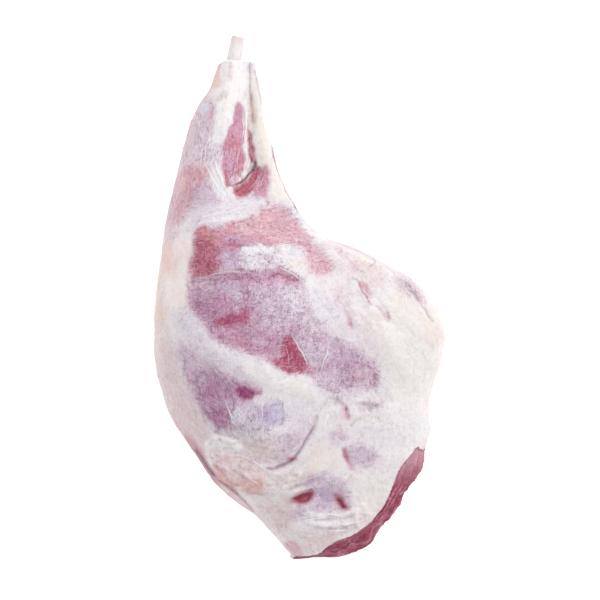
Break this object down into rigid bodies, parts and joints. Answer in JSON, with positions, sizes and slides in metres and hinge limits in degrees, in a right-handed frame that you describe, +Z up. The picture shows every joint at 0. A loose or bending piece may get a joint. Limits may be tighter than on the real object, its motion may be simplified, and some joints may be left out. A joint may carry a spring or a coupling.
{
  "type": "raw leg of lamb",
  "caption": "Raw bone-in hind leg of lamb lying inner side up, with a tapering shank, a sawn shank bone and a sawn chump end.",
  "frame": {"origin": "middle of the leg's bounding box in plan, on the surface it lies on", "axes": "+Y from the chump towards the shank bone, +Z up from the table towards the inner side of the leg, +X towards the tail side of the rump"},
  "size_m": [0.2344, 0.4208, 0.0936],
  "materials": {
    "raw_meat": "moist raw lean under white fat and silverskin",
    "bone": "sawn raw bone, satin"
  },
  "bodies": {
    "root": {"leg_meat": "raw_meat", "shank_bone": "bone"}
  },
  "joints": []
}
